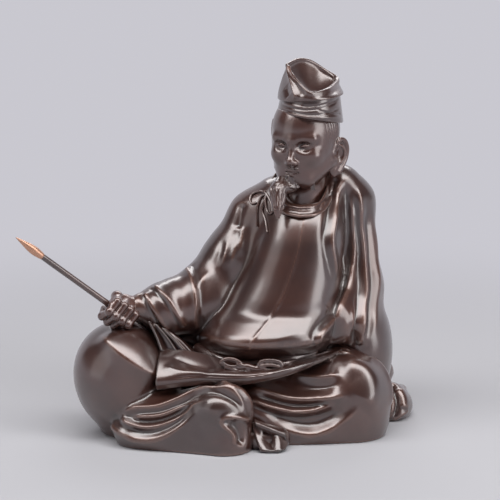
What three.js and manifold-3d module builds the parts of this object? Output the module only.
// A seated scholar in court robes, a bronze figurine about 230 mm high, holding a writing brush.
//
// A figure like this is cast in sections by the lost-wax method. Each garment, the head, the hat and the
// hand are castings of their own, joined where one garment laps over the next, and the brush is a loose
// rod that draws out of the fist.
//
// Millimetres. +Z is up, +X is the viewer's right and -Y is the side that the figure faces. The origin is
// on the surface that the figure sits on. "Right" and "left" in names are the figure's own, so its right
// hand is on the viewer's left.

import * as THREE from 'three';
import { mergeVertices } from 'three/addons/utils/BufferGeometryUtils.js';
import Module from 'manifold-3d';

const wasm = await Module();
wasm.setup();

const V = (x, y, z) => new THREE.Vector3(x, y, z);
const { clamp, degToRad } = THREE.MathUtils;

// Fits
const joinGap = 0.3; // between two castings that are brazed or pinned together
const slideGap = 0.35; // round the brush, which draws out

// Legs, in wide trousers
const rightHip = V(0, 6, 31);
const rightKnee = V(-69, -25, 34.5);
const rightKneeRadius = 30;
const leftHip = V(50, 6, 32);
const leftKnee = V(68, -22, 24.5);
const leftKneeRadius = 27;
const thighRadius = 27;
const rightShinTop = V(-58, -44, 15);
const rightHeel = V(-7, -56, 23);
const rightHeelRadius = 17;
const shinRadius = 15;
const leftShinEnd = V(14, -34, 20);
const leftShinRadius = 20;

// Robe
const neckRoot = V(41, -4, 146);
// From the seat to the neck: height, centre across, centre in depth, half width and half depth
const bodySections = [
  [44, 18, 0, 36, 38], [52, 18, 0, 42, 47], [58, 19.5, -2, 44, 51.5], [63, 21, -3, 44.5, 54.5],
  [67, 22.5, -3, 44, 55], [71, 24, -3, 43, 52.5], [77, 26.5, -2, 41, 47.5], [88, 31, -1, 37.5, 42],
  [101, 35.5, 0, 33.5, 38.5], [112, 38.5, 1, 31, 36], [124, 41, 2, 28.5, 32], [136, 42.5, 4, 25, 27],
  [148, 43, 6, 19, 20],
];
const rightShoulder = V(13.5, 9, 129);
const leftShoulder = V(70, 13, 138.5);
const shoulderRadius = 16.5;

// Right arm
const rightUpperArm = V(1.5, 5, 104);
const rightElbow = V(-19, -5, 79);
const rightElbowRadius = 21;
const rightForearm = V(-42, -17, 77);
const rightForearmRadius = 16;
const rightWrist = V(-58, -26, 80);
const rightWristRadius = 8.5;

// Left arm
const leftElbow = V(75, 5, 86);
const leftElbowRadius = 17;
const leftForearm = V(66, -22, 70);
const leftForearmRadius = 12;
const leftCuff = V(50, -34, 60);
const leftCuffRadius = 4;

// Hand and brush
const brushEnd = V(-50, -25, 61);
const brushTip = V(-131, -50, 129);
const brushRadius = 1.9;
const tuftLength = 21.5;
const tuftRadius = 2.7;
const graspAt = 28; // from the brush's end to the middle of the fist
const fingerPitch = 4.9;
const fingerRadius = 2.5;
const graspRadius = 7.8;
const fingerLengthening = [0, 0.8, 0.3, -0.8]; // from the forefinger to the little finger

// Head and hat
const headCentre = V(43.5, -4, 177);
const headHalfWidth = 20.5;
const headTurn = degToRad(-24); // towards the figure's right hand
const eyeApart = 8; // these six are from the head's centre, on the usual proportions
const eyeLine = 2;
const browLine = 7;
const noseLine = -8;
const mouthLine = -13;
const chinLine = -22;
const hatCentre = V(46.5, -2, 199);
const hatHalfWidth = 18.9;
const hatHalfDepth = 24;
const hatLip = 2.2;
const crownFoot = hatCentre.z + 8.5;

// Making solids

// A geometry's shared vertices are merged on position alone, which closes it.
function solid(geometry) {
  const bare = geometry.clone();
  for (const name of Object.keys(bare.attributes)) {
    if (name !== 'position') bare.deleteAttribute(name);
  }
  const closed = mergeVertices(bare, 1e-4);
  const vertProperties = new Float32Array(closed.attributes.position.array);
  const make = (triVerts) => new wasm.Manifold(new wasm.Mesh({ numProp: 3, vertProperties, triVerts }));
  const made = make(new Uint32Array(closed.index.array));
  return made.volume() > 0 ? made : make(new Uint32Array(closed.index.array).reverse());
}

function geometryOf(made) {
  const { vertProperties, numProp, numVert, triVerts } = made.getMesh();
  const points = new Float32Array(numVert * 3);
  for (let i = 0; i < numVert; i++) points.set(vertProperties.subarray(numProp * i, numProp * i + 3), 3 * i);
  const geometry = new THREE.BufferGeometry();
  geometry.setAttribute('position', new THREE.BufferAttribute(points, 3));
  geometry.setIndex(new THREE.BufferAttribute(new Uint32Array(triVerts), 1));
  return geometry;
}

function surface(points, faces) {
  const geometry = new THREE.BufferGeometry().setFromPoints(points);
  geometry.setIndex(faces);
  return solid(geometry);
}

const join = (first, ...others) => others.reduce((all, other) => all.add(other), first);
const largest = (made) => made.decompose().sort((a, b) => b.volume() - a.volume())[0];
const cut = (made, ...tools) => largest(tools.reduce((rest, tool) => rest.subtract(tool), made));

// The same solid with every face moved outwards, which leaves that gap round it when it cuts a neighbour
function swollen(made, by) {
  const geometry = geometryOf(made);
  geometry.computeVertexNormals();
  const position = geometry.attributes.position;
  const normal = geometry.attributes.normal;
  for (let i = 0; i < position.count; i++) {
    position.setXYZ(i, position.getX(i) + by * normal.getX(i), position.getY(i) + by * normal.getY(i),
      position.getZ(i) + by * normal.getZ(i));
  }
  return solid(geometry);
}

// Masses. A mass gives a point's distance outside a rounded form, negative inside.

const ball = (centre, radii, turn = 0) => {
  const cos = Math.cos(turn);
  const sin = Math.sin(turn);
  return (p) => {
    const dx = p.x - centre.x;
    const dy = p.y - centre.y;
    const x = (dx * cos + dy * sin) / radii.x;
    const y = (-dx * sin + dy * cos) / radii.y;
    const z = (p.z - centre.z) / radii.z;
    const k = Math.hypot(x, y, z);
    const slope = Math.hypot(x / radii.x, y / radii.y, z / radii.z) || 1e-9;
    return (k * (k - 1)) / slope;
  };
};

const limb = (a, b, startRadius, endRadius) => {
  const along = b.clone().sub(a);
  const length2 = along.lengthSq();
  return (p) => {
    const t = clamp(((p.x - a.x) * along.x + (p.y - a.y) * along.y + (p.z - a.z) * along.z) / length2, 0, 1);
    const away = Math.hypot(p.x - a.x - t * along.x, p.y - a.y - t * along.y, p.z - a.z - t * along.z);
    return away - (startRadius + (endRadius - startRadius) * t);
  };
};

// Masses that melt into each other over a width
const blend = (width, ...masses) => (p) => masses.map((mass) => mass(p)).reduce((a, b) => {
  const h = Math.max(width - Math.abs(a - b), 0) / width;
  return Math.min(a, b) - h * h * width * 0.25;
});

// A form of elliptic sections, each its height, the centre across and in depth, and both half sizes
const bell = (sections) => (p) => {
  const i = clamp(sections.findIndex(([height]) => height > p.z), 1, sections.length - 1);
  const [low, high] = [sections[i - 1], sections[i]];
  const t = clamp((p.z - low[0]) / (high[0] - low[0]), 0, 1);
  const [, x, y, halfWidth, halfDepth] = low.map((value, k) => value + t * (high[k] - value));
  const share = Math.hypot((p.x - x) / halfWidth, (p.y - y) / halfDepth);
  const side = (share - 1) * Math.sqrt(halfWidth * halfDepth);
  return Math.max(side, p.z - sections[sections.length - 1][0], sections[0][0] - p.z);
};

const grown = (mass, by) => (p) => mass(p) - by;

// A mass with others scooped out of it
const scooped = (width, mass, ...hollows) => (p) => {
  const filled = blend(width, (q) => -mass(q), ...hollows);
  return -filled(p);
};

function slopeOf(mass, p) {
  const step = 0.2;
  const q = p.clone();
  const along = (axis) => {
    q[axis] = p[axis] + step;
    const more = mass(q);
    q[axis] = p[axis] - step;
    const less = mass(q);
    q[axis] = p[axis];
    return (more - less) / (2 * step);
  };
  return V(along('x'), along('y'), along('z'));
}

// The nearest point on a mass's surface
function settled(mass, point) {
  const p = point.clone();
  for (let i = 0; i < 8; i++) {
    const slope = slopeOf(mass, p);
    p.addScaledVector(slope, -mass(p) / Math.max(slope.lengthSq(), 0.05));
  }
  return p;
}

// Folds of cloth on a mass: each is a ridge, or with a negative height a valley, which runs through the
// points nearest to the given ones and dies away at both ends.
function folded(mass, folds) {
  const steps = 12;
  const laid = folds.map(({ width, height, through }) => {
    const path = new THREE.CatmullRomCurve3(through.map((p) => settled(mass, V(...p))));
    const samples = path.getPoints(steps).map((p) => settled(mass, p));
    return { samples, width, height, box: new THREE.Box3().setFromPoints(samples).expandByScalar(3 * width) };
  });
  const nearest = V(0, 0, 0);
  const stretch = new THREE.Line3();
  return (p) => {
    let distance = mass(p);
    for (const { samples, width, height, box } of laid) {
      if (!box.containsPoint(p)) continue;
      let gap = Infinity;
      let at = 0;
      for (let i = 0; i < steps; i++) {
        stretch.set(samples[i], samples[i + 1]);
        const t = stretch.closestPointToPointParameter(p, true);
        const away = stretch.at(t, nearest).distanceTo(p);
        if (away < gap) {
          gap = away;
          at = (i + t) / steps;
        }
      }
      const taper = Math.sin(Math.PI * (0.1 + 0.8 * at)) ** 0.8;
      distance -= height * taper * Math.exp(-((gap / width) ** 2));
    }
    return distance;
  };
}

// The skin of a mass. Rays leave a spine in rings, with a fan of rays over each end, and each ray stops
// where the mass ends. "across" is the direction of the first ray of every ring, and "crowd" brings the
// rays closer together round that direction.
function skin(mass, { spine, across, rings, sides, caps = 5, crowd = 0 }) {
  const curve = new THREE.CatmullRomCurve3(spine);
  const rows = [];
  const rowAt = (t, lean) => {
    const along = curve.getTangentAt(t);
    const side = across.clone().addScaledVector(along, -across.dot(along)).normalize();
    return { from: curve.getPointAt(t), along, side, up: along.clone().cross(side), lean };
  };
  const quarter = Math.PI / 2;
  for (let k = caps; k > 0; k--) rows.push(rowAt(0, (-k / (caps + 1)) * quarter));
  for (let i = 0; i <= rings; i++) rows.push(rowAt(i / rings, 0));
  for (let k = 1; k <= caps; k++) rows.push(rowAt(1, (k / (caps + 1)) * quarter));
  const edge = (from, way) => {
    const p = V(0, 0, 0);
    const outside = (r) => mass(p.copy(way).multiplyScalar(r).add(from));
    let inner = 0;
    let outer = 0;
    for (let d = outside(0); d < 0; d = outside(outer)) {
      inner = outer;
      outer += Math.max(-d * 0.6, 0.4);
    }
    for (let i = 0; i < 12; i++) {
      const middle = (inner + outer) / 2;
      if (outside(middle) > 0) outer = middle;
      else inner = middle;
    }
    return way.clone().multiplyScalar(inner).add(from);
  };
  const grid = rows.map(({ from, along, side, up, lean }) => Array.from({ length: sides }, (_, j) => {
    const turn = (2 * Math.PI * j) / sides;
    const angle = turn - crowd * Math.sin(turn);
    const way = side.clone().multiplyScalar(Math.cos(angle) * Math.cos(lean))
      .addScaledVector(up, Math.sin(angle) * Math.cos(lean))
      .addScaledVector(along, Math.sin(lean));
    return edge(from, way);
  }));
  const first = rows[0];
  const last = rows[rows.length - 1];
  return loft(grid, edge(first.from, first.along.clone().negate()), edge(last.from, last.along.clone()));
}

// A solid through rows of points, each row a closed loop, with a point that closes each end
function loft(rows, start = middleOf(rows[0]), end = middleOf(rows[rows.length - 1])) {
  const sides = rows[0].length;
  const points = [...rows.flat(), start, end];
  const startAt = points.length - 2;
  const endAt = points.length - 1;
  const at = (i, j) => i * sides + (j % sides);
  const faces = [];
  for (let j = 0; j < sides; j++) {
    faces.push(startAt, at(0, j + 1), at(0, j));
    faces.push(endAt, at(rows.length - 1, j), at(rows.length - 1, j + 1));
    for (let i = 0; i + 1 < rows.length; i++) {
      faces.push(at(i, j), at(i, j + 1), at(i + 1, j + 1), at(i, j), at(i + 1, j + 1), at(i + 1, j));
    }
  }
  return surface(points, faces);
}

const middleOf = (row) => row.reduce((sum, p) => sum.add(p), V(0, 0, 0)).divideScalar(row.length);

// A closed band, such as a collar: rows of points round a loop, joined into a ring
function hoop(rows) {
  const count = rows.length;
  const sides = rows[0].length;
  const at = (i, j) => (i % count) * sides + (j % sides);
  const faces = [];
  for (let i = 0; i < count; i++) {
    for (let j = 0; j < sides; j++) {
      faces.push(at(i, j), at(i, j + 1), at(i + 1, j + 1), at(i, j), at(i + 1, j + 1), at(i + 1, j));
    }
  }
  return surface(rows.flat(), faces);
}

// A rod of a given radius at each point of a curve, round ended
function rod(through, radii, { sides = 8, steps = 8 } = {}) {
  const curve = new THREE.CatmullRomCurve3(through.map((p) => (Array.isArray(p) ? V(...p) : p)));
  const frames = curve.computeFrenetFrames(steps, false);
  const radiusAt = (t) => {
    const x = t * (radii.length - 1);
    const i = Math.min(Math.floor(x), radii.length - 2);
    return radii[i] + (radii[i + 1] - radii[i]) * (x - i);
  };
  const ring = (i, push, shrink) => Array.from({ length: sides }, (_, j) => {
    const angle = (2 * Math.PI * j) / sides;
    const r = radiusAt(i / steps) * shrink;
    return curve.getPointAt(i / steps)
      .addScaledVector(frames.tangents[i], push * radiusAt(i / steps))
      .addScaledVector(frames.normals[i], r * Math.cos(angle))
      .addScaledVector(frames.binormals[i], r * Math.sin(angle));
  });
  const rows = [ring(0, -0.7, 0.7)];
  for (let i = 0; i <= steps; i++) rows.push(ring(i, 0, 1));
  rows.push(ring(steps, 0.7, 0.7));
  const start = curve.getPointAt(0).addScaledVector(frames.tangents[0], -radii[0]);
  const end = curve.getPointAt(1).addScaledVector(frames.tangents[steps], radii[radii.length - 1]);
  return loft(rows, start, end);
}

// A sheet of cloth cast at a real thickness. edges is a list of curves, each a list of points, that the
// sheet passes through from one side to the other.
function sheet(edges, { thickness, along = 16, between = 5 }) {
  const curves = edges.map((points) => new THREE.CatmullRomCurve3(points.map((p) => V(...p))));
  const grid = [];
  for (let i = 0; i <= along; i++) {
    const rib = new THREE.CatmullRomCurve3(curves.map((c) => c.getPoint(i / along)));
    grid.push(rib.getPoints(between));
  }
  const normalAt = (i, j) => {
    const a = grid[Math.min(i + 1, along)][j].clone().sub(grid[Math.max(i - 1, 0)][j]);
    const b = grid[i][Math.min(j + 1, between)].clone().sub(grid[i][Math.max(j - 1, 0)]);
    return a.cross(b).normalize();
  };
  const rows = grid.map((rib, i) => {
    const face = (side) => rib.map((p, j) => p.clone().addScaledVector(normalAt(i, j), side * thickness / 2));
    return [...face(1), ...face(-1).reverse()];
  });
  const faces = [];
  const sides = rows[0].length;
  const at = (i, j) => i * sides + (j % sides);
  for (let i = 0; i < along; i++) {
    for (let j = 0; j < sides; j++) {
      faces.push(at(i, j), at(i, j + 1), at(i + 1, j + 1), at(i, j), at(i + 1, j + 1), at(i + 1, j));
    }
  }
  for (let j = 0; j < between; j++) {
    const other = sides - 1 - j;
    faces.push(at(0, j), at(0, other), at(0, other - 1), at(0, j), at(0, other - 1), at(0, j + 1));
    faces.push(at(along, j), at(along, other - 1), at(along, other));
    faces.push(at(along, j), at(along, j + 1), at(along, other - 1));
  }
  return surface(rows.flat(), faces);
}

// A round bar between two points
function bar(a, b, radius, sides = 16) {
  const shape = new THREE.CylinderGeometry(radius, radius, a.distanceTo(b), sides);
  shape.applyQuaternion(new THREE.Quaternion().setFromUnitVectors(V(0, 1, 0), b.clone().sub(a).normalize()));
  shape.translate(...a.clone().add(b).multiplyScalar(0.5));
  return solid(shape);
}

const ground = solid(new THREE.BoxGeometry(600, 600, 100).translate(0, 0, -50));

// Trousers

const rightThighMass = blend(12,
  limb(rightHip, V(-42, -13, 31), thighRadius, thighRadius - 3),
  ball(rightKnee, V(rightKneeRadius, rightKneeRadius + 1, rightKneeRadius + 3)),
  ball(rightKnee.clone().add(V(-2, 1, 9)), V(24, 25, 24)),
  limb(V(4, 2, 2), V(-60, -20, 2), 21, 22),
);
const rightThigh = () => skin(rightThighMass, {
  spine: [V(-60, -22, 32), V(-34, -12, 28), V(-4, 4, 28)],
  across: V(0, -1, 0), rings: 6, sides: 20, caps: 3,
});

const rightShinMass = folded(
  blend(10,
    limb(rightShinTop, rightHeel, shinRadius, shinRadius),
    ball(rightHeel, V(rightHeelRadius, rightHeelRadius, rightHeelRadius)),
    ball(V(-38, -40, 12), V(34, 24, 16)),
    limb(V(-56, -46, 3), V(-6, -60, 3), shinRadius, shinRadius + 2),
  ),
  [
    { width: 3.2, height: 3,
      through: [[-67, -56, 21], [-47, -60, 26], [-35, -62, 31], [-24, -62, 36], [0, -66, 33]] },
    { width: 2.8, height: 2.4, through: [[-60, -60, 21], [-44, -62, 22], [-32, -64, 27], [-21, -64, 35]] },
    { width: 2.8, height: 2.6, through: [[-69, -58, 19], [-50, -66, 16], [-35, -68, 21], [-15, -66, 35]] },
    { width: 3, height: 3, through: [[-75, -52, 13], [-58, -62, 7], [-47, -66, 9], [-24, -68, 25]] },
    { width: 3.5, height: 2.6, through: [[-29, -58, 40], [-6, -58, 40], [3, -62, 36], [11, -68, 23]] },
  ],
);
const rightShin = () => skin(rightShinMass, {
  spine: [V(-56, -42, 14), V(-32, -46, 15), V(-9, -52, 20)],
  across: V(0, -1, 0), rings: 16, sides: 24, caps: 3, crowd: 0.4,
});

const leftLegMass = folded(
  blend(14,
    limb(leftHip, leftKnee, thighRadius, leftKneeRadius - 4),
    ball(leftKnee, V(leftKneeRadius + 1, leftKneeRadius + 1, leftKneeRadius)),
    limb(V(66, -25, 20), leftShinEnd, leftShinRadius + 2, leftShinRadius),
    limb(V(72, -28, 3), V(24, -39, 3), leftShinRadius, leftShinRadius - 4),
  ),
  [
    { width: 4, height: 2.6, through: [[30, -50, 45], [49, -50, 42], [66, -46, 43]] },
    { width: 4, height: 3, through: [[6, -50, 36], [31, -54, 30], [60, -52, 30], [69, -48, 30]] },
    { width: 3.5, height: -2.2, through: [[8, -50, 30], [31, -54, 25], [42, -54, 24], [62, -52, 27]] },
    { width: 4, height: 3, through: [[29, -54, 10], [54, -54, 10], [66, -50, 15], [80, -42, 27]] },
    { width: 4, height: 2.4, through: [[40, -46, 54], [55, -44, 57], [72, -38, 55]] },
    { width: 4, height: 2.4, through: [[82, -20, 47], [90, -20, 43], [95, -20, 35], [98, -12, 10]] },
  ],
);
const leftLeg = () => skin(leftLegMass, {
  spine: [V(20, -24, 18), V(44, -18, 18), V(64, -16, 20)],
  across: V(0, -1, 0), rings: 13, sides: 24, caps: 3, crowd: 0.35,
});

// Robe

const robeMass = scooped(3,
  blend(9,
    bell(bodySections),
    limb(V(22, 9, 131), V(60, 12, 137), shoulderRadius - 3, shoulderRadius - 3),
    ball(V(43, 20, 138), V(24, 18, 22)),
    ball(V(44, 22, 80), V(42, 34, 62)),
    ball(V(44, 30, 20), V(57, 32, 30)),
  ),
  ball(neckRoot.clone().add(V(1, -1, 6)), V(17, 17, 13)),
);
const robe = () => skin(robeMass, {
  spine: [V(40, 18, 24), V(34, 6, 78), V(42, 7, 122)],
  across: V(0, -1, 0), rings: 13, sides: 20, caps: 2, crowd: 0.3,
});

// Sleeves

const rightSleeveMass = folded(
  blend(9,
    limb(V(27, 5, 139.5), rightShoulder, 16, shoulderRadius),
    limb(rightShoulder, rightUpperArm, shoulderRadius, 20),
    limb(rightUpperArm, rightElbow, 20, rightElbowRadius),
    limb(rightElbow, rightForearm, rightElbowRadius, rightForearmRadius),
    limb(rightForearm, rightWrist, rightForearmRadius, rightWristRadius),
  ),
  [
    { width: 3.5, height: -2, through: [[4, -5, 141], [1, -8, 127], [-1, -12, 112]] },
    { width: 3, height: 2, through: [[4, -10, 125], [3, -14, 114], [0, -16, 100]] },
    { width: 2.6, height: 1.6, through: [[-29, -10, 102], [-25, -22, 91], [-24, -28, 74]] },
    { width: 2, height: 1.6, through: [[-56, -22, 88], [-48, -32, 77], [-41, -28, 66]] },
    { width: 2, height: 1.6, through: [[-50, -18, 92], [-41, -30, 86], [-31, -28, 68]] },
  ],
);
const rightSleeve = () => skin(rightSleeveMass, {
  spine: [V(8, 8, 122), V(-4, 3, 100), V(-20, -6, 79), V(-54, -23.5, 79)],
  across: V(0, -1, 0), rings: 14, sides: 16, caps: 3, crowd: 0.3,
});

const leftSleeveMass = folded(
  blend(8,
    limb(V(65, 9, 150), leftShoulder, 13.5, shoulderRadius),
    limb(leftShoulder, leftElbow, shoulderRadius, leftElbowRadius),
    limb(leftElbow, leftForearm, leftElbowRadius, leftForearmRadius),
    limb(leftForearm, leftCuff, leftForearmRadius, leftCuffRadius),
    ball(V(80.5, 2, 46), V(19, 28, 37)),
  ),
  [
    { width: 3.4, height: 2.2, through: [[63, -2, 156], [63, -6, 145], [59, -16, 120], [62, -30, 96]] },
    { width: 3.4, height: -2.8, through: [[68, 0, 156], [71, -6, 139], [71, -10, 125], [69, -16, 111]] },
    { width: 3.4, height: 2.8,
      through: [[71, 0, 151], [74, -12, 116], [68, -30, 90], [62, -40, 77], [48, -48, 62]] },
    { width: 3.6, height: 2, through: [[76, 2, 152], [78, -6, 133], [79, -10, 115], [80, -16, 99]] },
    { width: 4.4, height: 1.6, through: [[86, 4, 140], [87, 0, 119], [89, -6, 90]] },
    { width: 3.4, height: -3.4, through: [[80, -16, 95], [79, -24, 74], [77, -34, 54]] },
    { width: 3.8, height: 2.4, through: [[86, -12, 94], [85, -16, 76], [83, -22, 64], [78, -30, 54]] },
  ],
);
const leftSleeve = () => skin(leftSleeveMass, {
  spine: [V(78, 0, 50), V(76, -2, 80), V(74, 12, 134)],
  across: V(0, -1, 0), rings: 14, sides: 20, caps: 2, crowd: 0.35,
});

// Robe train, the hem that trails behind the left knee
const besideKnee = (x, y, z) => V(leftKnee.x + leftKneeRadius + x, leftKnee.y + y, z);
const trainMass = blend(7,
  limb(besideKnee(-7, 36, 11), besideKnee(3, 31, 11), 14, 11),
  ball(besideKnee(3, 38, 6), V(16, 23, 12)),
  ball(besideKnee(-11, 60, 4), V(22, 24, 10)),
);
const train = () => skin(trainMass, {
  spine: [besideKnee(-9, 54, 4), besideKnee(-1, 38, 5)], across: V(0, 0, 1), rings: 5, sides: 16, caps: 4,
});

// Flap of the robe across the lap, with its front edge turned under
const lapFlap = () => sheet([
  [[-45, -37, 56], [-27, -42, 55.5], [-9.5, -46, 52], [9.5, -50, 47.5], [34, -49, 51], [60.5, -43, 57]],
  [[-45.5, -47, 51.5], [-26, -51, 50], [-5.5, -54, 48.5], [12.5, -55, 46.5], [33.5, -53, 49.5],
    [60.5, -46, 57.5]],
  [[-47, -56.5, 42], [-23.5, -60, 45.5], [-3, -61, 45], [13.5, -60.5, 46], [33.5, -57, 49],
    [60.5, -49, 57.5]],
  [[-46.5, -54, 36.5], [-24, -57.5, 40], [-3.5, -58.5, 40], [13.5, -58, 42], [33.5, -55, 46],
    [60.5, -47, 55.5]],
], { thickness: 2.6, along: 12, between: 6 });

// Inner sleeves, three layers that show below the right wrist and come down on the lap, side by side
const innerSleeve = (i) => {
  const layer = (x, y, z, shift, sink) => [x + shift * i, y, z - sink * i];
  return sheet([
    [layer(-52.3, -36.5, 73, 4.3, 2.2), layer(-48, -38.5, 65, 5.5, 1.3), layer(-45, -40.5, 56.7, 6.8, 0.2)],
    [layer(-50.4, -33, 71.5, 4.2, 2.4), layer(-44.8, -35, 63.4, 4.7, 1.3), layer(-40.8, -37, 55.7, 5.6, 0.4)],
    [layer(-47.3, -33.5, 70.6, 4, 2.5), layer(-40.5, -35.5, 63, 4, 1.3), layer(-35.6, -37.5, 56, 4.5, 0.6)],
    [layer(-45.3, -29, 69, 4, 2.6), layer(-38.6, -31, 61, 4, 1.3), layer(-33.6, -33, 54, 4.5, 0.6)],
  ], { thickness: 1.5, along: 4, between: 5 });
};

// Sash round the waist, and its knot
const sash = () => rod(
  [[-22, -26, 53], [-10, -40, 50], [8, -46, 48], [30, -45, 51], [47, -36, 55]],
  [4, 4.2, 4.2, 4.2, 4], { sides: 8, steps: 10 });
const knotCord = (through, radius, steps) => rod(through, [radius, radius], { sides: 4, steps });
const sashKnot = () => join(
  knotCord([[-8, -55.5, 53], [-5, -55.5, 55], [0, -55.5, 54.7], [4, -55.5, 52]], 1.3, 4),
  knotCord([[-8, -55.5, 53], [-4, -55.5, 50.7], [1, -55.5, 50.3], [4, -55.5, 52]], 1.3, 4),
  knotCord([[-5, -56, 50.2], [0, -56, 48.3], [5, -56, 46.7], [9, -56, 47.7], [6.5, -56, 50.5]], 1.3, 5),
  knotCord([[3, -55, 50], [7.5, -55, 50.2], [13, -55, 48.6], [17.5, -55, 49.3]], 2.2, 3),
  knotCord([[14.5, -55, 49.3], [16, -55, 53], [21.5, -55, 54], [27, -55, 53], [28.5, -55, 50.5],
    [24.5, -55, 48.3], [19, -55, 48], [14.5, -55, 49.3]], 1.5, 9),
  rod([[28, -53.5, 51.2], [33.5, -53, 52.5], [39.5, -53, 54.7]], [1.6, 1.4, 0.8], { sides: 5, steps: 3 }),
);

// Turned-up hem between the feet
const hemMass = blend(2.5,
  limb(V(13.6, -62, 13.6), V(15.4, -64, 2.3), 3.4, 4.4),
  limb(V(15.5, -64, 1), V(27, -62, 2.3), 3.6, 4.4),
  limb(V(16.7, -60, 13), V(27, -60, 7.3), 3.2, 4.2),
  limb(V(13, -56, 6), V(27, -54, 5), 7, 7),
);
const hem = () => skin(hemMass, {
  spine: [V(15, -60, 5), V(26, -58, 4)], across: V(0, -1, 0), rings: 5, sides: 12, caps: 2,
});

// Head. Its features are placed in the head's own frame, where -Y is forwards.

const facing = (x, y, z) => V(x, y, z).applyAxisAngle(V(0, 0, 1), headTurn).add(headCentre);
const w = headHalfWidth;
const mirrored = (make) => [make(1), make(-1)];
const skullMass = blend(7,
  ball(facing(0, 1, 10), V(w, 24, 24), headTurn),
  ball(facing(0, -6.5, -5), V(17.2, 15, 18), headTurn),
  ball(facing(0, -13.5, chinLine + 5), V(7.5, 6, 6), headTurn),
);
const neckMass = limb(facing(1, 5, -12), neckRoot.clone().add(V(1, 3, -8)), 11.5, 13);
const browMass = limb(facing(-12, -17.3, browLine), facing(12, -17.3, browLine), 1.8, 1.8);
const noseMass = blend(1.8,
  limb(facing(0, -19.8, browLine - 1.5), facing(0, -23.9, noseLine + 2.6), 1.9, 2.6),
  ...mirrored((side) => ball(facing(side * 2.9, -21.4, noseLine + 1), V(2.1, 2.8, 2.1), headTurn)),
);
const cheekMasses = mirrored((side) => (
  ball(facing(side * 10.5, -14.5, -3.5), V(5, 5, 4.5), headTurn)));
const mouthMass = blend(1.5,
  limb(facing(-4, -17.6, mouthLine + 1.2), facing(4, -17.6, mouthLine + 1.2), 2.2, 2.2),
  limb(facing(-3.4, -17.8, mouthLine - 2), facing(3.4, -17.8, mouthLine - 2), 2.1, 2.1),
);
const eyeSockets = mirrored((side) => (
  ball(facing(side * eyeApart, -22.6, eyeLine + 0.6), V(4.8, 4.4, 3.2), headTurn)));
const eyeMasses = mirrored((side) => (
  ball(facing(side * eyeApart, -16.2, eyeLine), V(4.2, 3.8, 3.2), headTurn)));
const ears = mirrored((side) => blend(2,
  limb(facing(side * (w - 3), 0, -4), facing(side * (w + 1), 3, -2), 4.5, 3.4),
  ball(facing(side * (w + 2.4), 4, 0), V(2.2, 6.4, 9), headTurn - side * 0.38),
  ball(facing(side * (w - 0.2), 1.8, -9.6), V(2.6, 4.2, 5.5), headTurn - side * 0.38),
));
const headMass = blend(2.5,
  scooped(3, blend(6, skullMass, neckMass, browMass, ...cheekMasses), ...eyeSockets),
  noseMass, mouthMass, ...eyeMasses,
);
const hatSeat = solid(new THREE.BoxGeometry(100, 100, 50).translate(hatCentre.x, 0, hatCentre.z - 1 + 25));
const head = () => {
  const bare = skin(headMass, {
    spine: [neckRoot.clone().add(V(1, 2, -3)), facing(0, -3, -14), facing(0, -2, 10)],
    across: facing(0, -1, 0).sub(headCentre), rings: 19, sides: 22, caps: 1, crowd: 0.62,
  });
  const earSkins = [1, -1].map((side, i) => skin(ears[i], {
    spine: [facing(side * (w - 0.2), 1.8, -9), facing(side * (w + 0.6), 2.6, -4),
      facing(side * (w + 2.2), 4, 3)],
    across: V(0, -1, 0), rings: 3, sides: 8, caps: 2,
  }));
  return cut(join(bare, ...earSkins), hatSeat);
};

// Beard

const beardTip = V(27.2, -40, 140.5);
const beardMiddle = V(28, -37, 150);
const beardRoot = facing(-2.5, -22, chinLine - 6);
const beardMass = blend(3,
  ball(facing(-0.5, -15.5, chinLine + 4), V(8.5, 6.5, 6), headTurn),
  limb(facing(-1, -18, chinLine + 1), beardRoot, 5.6, 5),
  limb(beardRoot, beardMiddle, 5, 4.4),
  limb(beardMiddle, beardTip, 4.4, 1.3),
);
const beard = () => skin(beardMass, {
  spine: [facing(-0.5, -15, chinLine + 4), beardRoot, beardMiddle, beardTip.clone().lerp(beardMiddle, 0.15)],
  across: V(1, 0, 0), rings: 9, sides: 10, caps: 2,
});

// Collar, a standing band that rises towards the back of the neck

const collarTop = new THREE.CatmullRomCurve3([
  V(39.3, -24, 141.8), V(47.3, -22, 142), V(53, -15, 144.5), V(57, -5, 150.8), V(58, 5, 157),
  V(50, 16, 162), V(36, 16, 162), V(25, 6, 157), V(23.5, -7, 150), V(31.4, -20, 143.5)], true);
const collarHeight = 6;
const collarWall = 2.6;
function collar() {
  const steps = 24;
  const rows = Array.from({ length: steps }, (_, i) => {
    const p = collarTop.getPointAt(i / steps);
    const out = p.clone().sub(neckRoot).setZ(0).normalize();
    const down = collarTop.getTangentAt(i / steps).cross(out).normalize();
    if (down.z > 0) down.negate();
    const point = (o, d) => p.clone().addScaledVector(out, o).addScaledVector(down, d);
    return [point(0, 0), point(collarWall * 0.8, 0), point(collarWall, 1),
      point(collarWall + 1.4, collarHeight), point(0.6, collarHeight + 1)];
  });
  return hoop(rows);
}

// Hat, a tall cap whose top is pressed in: a rim that is high at the back and low in front, round a bowl

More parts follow.
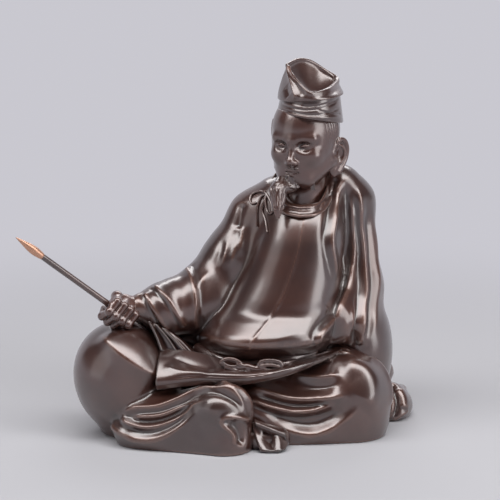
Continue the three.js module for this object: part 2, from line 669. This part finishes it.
const hatRim = new THREE.CatmullRomCurve3([
  V(32, -5, 227), V(36.5, -18, 220.5), V(41.2, -24, 215.7), V(46.8, -26, 211.9), V(55.6, -18.5, 212.8),
  V(61, -4, 214.5), V(63, 8, 217), V(55, 14, 222), V(46.5, 12, 227.5), V(39, 6, 229)], true);
const hatMiddle = V(49, -5, 0);
const roundTheHat = (grow, z) => (angle) => V(hatCentre.x + (hatHalfWidth + grow) * Math.cos(angle),
  hatCentre.y + (hatHalfDepth + grow) * Math.sin(angle), z);
function hat() {
  const sides = 28;
  const rim = Array.from({ length: sides }, (_, j) => hatRim.getPointAt(j / sides));
  const turns = rim.map((p) => Math.atan2(p.y - hatMiddle.y, p.x - hatMiddle.x));
  const base = (grow, z) => turns.map(roundTheHat(grow, z));
  const crown = base(0.8, crownFoot);
  const wall = (t, swell) => crown.map((p, j) => {
    const q = p.clone().lerp(rim[j], t);
    const out = V(q.x - hatMiddle.x, q.y - hatMiddle.y, 0).normalize();
    return q.addScaledVector(out, swell);
  });
  const bowlFloor = V(52, -3, 209);
  const inside = (t, sink) => rim.map((p) => {
    const q = p.clone().lerp(bowlFloor, t);
    q.z -= sink;
    return q;
  });
  const share = hatLip / 14;
  const seat = hatCentre.z - 0.7;
  const rows = [base(-1.5, seat), base(-1.5, crownFoot - 0.4), crown, wall(0.4, 1.2), wall(0.8, 1),
    wall(1, 0), inside(share, 0), inside(0.4, 3), inside(0.7, 3.4)];
  return loft(rows, V(hatCentre.x, hatCentre.y, seat), bowlFloor.clone().add(V(0, 0, -3)));
}

// The hat's band, which dips from the forehead to the temples and reaches up to the foot of the crown
function hatBand() {
  const steps = 20;
  const rows = Array.from({ length: steps }, (_, i) => {
    const angle = (2 * Math.PI * i) / steps;
    const point = (grow, z) => roundTheHat(grow, z)(angle);
    const low = hatCentre.z - 4 - 3.4 * Math.cos(angle) - 1.2 * Math.sin(angle);
    return [point(0.1, crownFoot - joinGap), point(0.5, crownFoot - 1.6), point(0.6, (low + crownFoot) / 2),
      point(0.4, low + 0.6), point(-1, low), point(-1, crownFoot - joinGap)];
  });
  return hoop(rows);
}

// Hand, closed round the brush

const brushWay = brushTip.clone().sub(brushEnd).normalize();
const tuftBase = brushTip.clone().addScaledVector(brushWay, -tuftLength);
const grasp = brushEnd.clone().addScaledVector(brushWay, graspAt);
const toWrist = rightWrist.clone().sub(grasp);
toWrist.addScaledVector(brushWay, -toWrist.dot(brushWay)).normalize();
const toViewer = toWrist.clone().cross(brushWay).normalize();
if (toViewer.y > 0) toViewer.negate();

// A point beside the brush: "angle" in degrees from the wrist's side, round by the side that shows
const beside = (along, radius, angle) => grasp.clone()
  .addScaledVector(brushWay, along)
  .addScaledVector(toWrist, radius * Math.cos(degToRad(angle)))
  .addScaledVector(toViewer, radius * Math.sin(degToRad(angle)));

// A finger bends round the brush in four short straight lengths
const fingerMass = (i) => {
  const along = (1.5 - i) * fingerPitch;
  const reach = graspRadius + fingerLengthening[i];
  const joints = [[-0.8, 0], [0.4, 60], [0.8, 115], [0.6, 175], [-1.2, 235]]
    .map(([out, angle]) => beside(along, reach + out, angle));
  return blend(1, ...joints.slice(1).map((joint, k) => limb(joints[k], joint, fingerRadius, fingerRadius)));
};
const thumbJoint = beside(fingerPitch * 1.2, 6.5, -20);
const fistMass = blend(1.5,
  limb(beside(1.2, 0.4, 0), beside(-1.2, 0.4, 0), graspRadius + 0.6, graspRadius + 0.3),
  ...[0, 1, 2, 3].map(fingerMass),
  limb(beside(2, 8, -60), thumbJoint, 3.4, 3),
  limb(thumbJoint, beside(fingerPitch * 1.5, 5.6, 85), 3, 2.4),
);
const wristMass = blend(4,
  ball(beside(-1.5, 3, 0), V(8.5, 7, 8)),
  limb(beside(-3, 6, -30), rightWrist, 7.5, 6.5),
);
const hand = () => join(
  skin(fistMass, {
    spine: [beside(-fingerPitch * 2, 1, 0), beside(fingerPitch * 2, 1, 0)],
    across: toWrist, rings: 8, sides: 12, caps: 1,
  }),
  skin(wristMass, {
    spine: [beside(-1, 3, 0), rightWrist.clone().lerp(grasp, 0.2)],
    across: V(0, -1, 0), rings: 3, sides: 10, caps: 1,
  }),
);

// Cord that ties the collar at the right shoulder: a bow of two loops with two hanging ends
const cordRadius = 0.8;
const tiedOn = grown(blend(4, robeMass, rightSleeveMass), cordRadius + joinGap + 0.1);
const cordStretch = (points) => rod(points.map((p) => settled(tiedOn, V(...p))), [cordRadius, cordRadius],
  { sides: 4, steps: 5 });
const collarCord = () => join(
  cordStretch([[20, -18, 149.5], [16, -18, 150.6], [11.8, -18, 149.5], [9.7, -18, 146.3], [10.6, -18, 143]]),
  cordStretch([[18.5, -20, 149], [16.7, -22, 148.2], [14.3, -22, 142.7], [13.7, -22, 136.4],
    [14, -22, 130.2]]),
  cordStretch([[19.5, -20, 149], [17.9, -24, 144.9], [17, -24, 139.9], [19.2, -24, 134.3], [20.4, -24, 127]]),
  cordStretch([[19.8, -18, 149.4], [21.6, -22, 146.4], [23.5, -22, 141.4], [22.9, -22, 137.7],
    [20.4, -22, 138.9], [19, -22, 144.5]]),
);

// Tuft of the brush, bound hair that ends in a point
function tuft() {
  const profile = [[0, 0], [brushRadius, 0], [brushRadius + 0.4, 1], [tuftRadius * 0.9, 4], [tuftRadius, 7],
    [tuftRadius * 0.86, 11], [tuftRadius * 0.5, 16], [tuftRadius * 0.18, 20], [0, tuftLength]];
  const shape = new THREE.LatheGeometry(profile.map(([r, y]) => new THREE.Vector2(r, y)), 10);
  shape.applyQuaternion(new THREE.Quaternion().setFromUnitVectors(V(0, 1, 0), brushWay));
  shape.translate(...tuftBase.clone().addScaledVector(brushWay, joinGap));
  return solid(shape);
}

// The figure, put together. A piece is cut by the ones before it, which leaves the joining gap.

const bronze = new THREE.MeshStandardMaterial({ color: 0x3b2a26, roughness: 0.35, metalness: 0.8 });
const copper = new THREE.MeshStandardMaterial({ color: 0xc98a63, roughness: 0.35, metalness: 0.9 });

const figure = new THREE.Group();
const placed = [];
function place(name, material, made, gap = joinGap) {
  const box = made.boundingBox();
  const near = placed.filter((tool) => {
    const other = tool.boundingBox();
    return [0, 1, 2].every((k) => box.min[k] < other.max[k] && other.min[k] < box.max[k]);
  });
  const fitted = cut(made, ground, ...near);
  placed.push(swollen(made, gap));
  const mesh = new THREE.Mesh(geometryOf(fitted), material);
  mesh.name = name;
  figure.add(mesh);
}

place('brush_handle', bronze, bar(brushEnd, tuftBase, brushRadius), slideGap);
place('brush_tuft', copper, tuft());
place('collar', bronze, collar());
place('right_thigh', bronze, rightThigh());
place('right_shin', bronze, rightShin());
place('left_leg', bronze, leftLeg());
place('right_hand', bronze, hand());
place('robe', bronze, robe());
place('right_sleeve', bronze, rightSleeve());
place('left_sleeve', bronze, leftSleeve());
place('robe_train', bronze, train());
place('lap_flap', bronze, lapFlap());
place('sash', bronze, sash());
place('sash_knot', bronze, sashKnot());
[0, 1, 2].forEach((i) => place(`inner_sleeve_${i + 1}`, bronze, innerSleeve(i)));
place('turned_hem', bronze, hem());
place('head', bronze, head());
place('hat', bronze, hat());
place('hat_band', bronze, hatBand());
place('beard', bronze, beard());
place('collar_cord', bronze, collarCord());

export default figure;
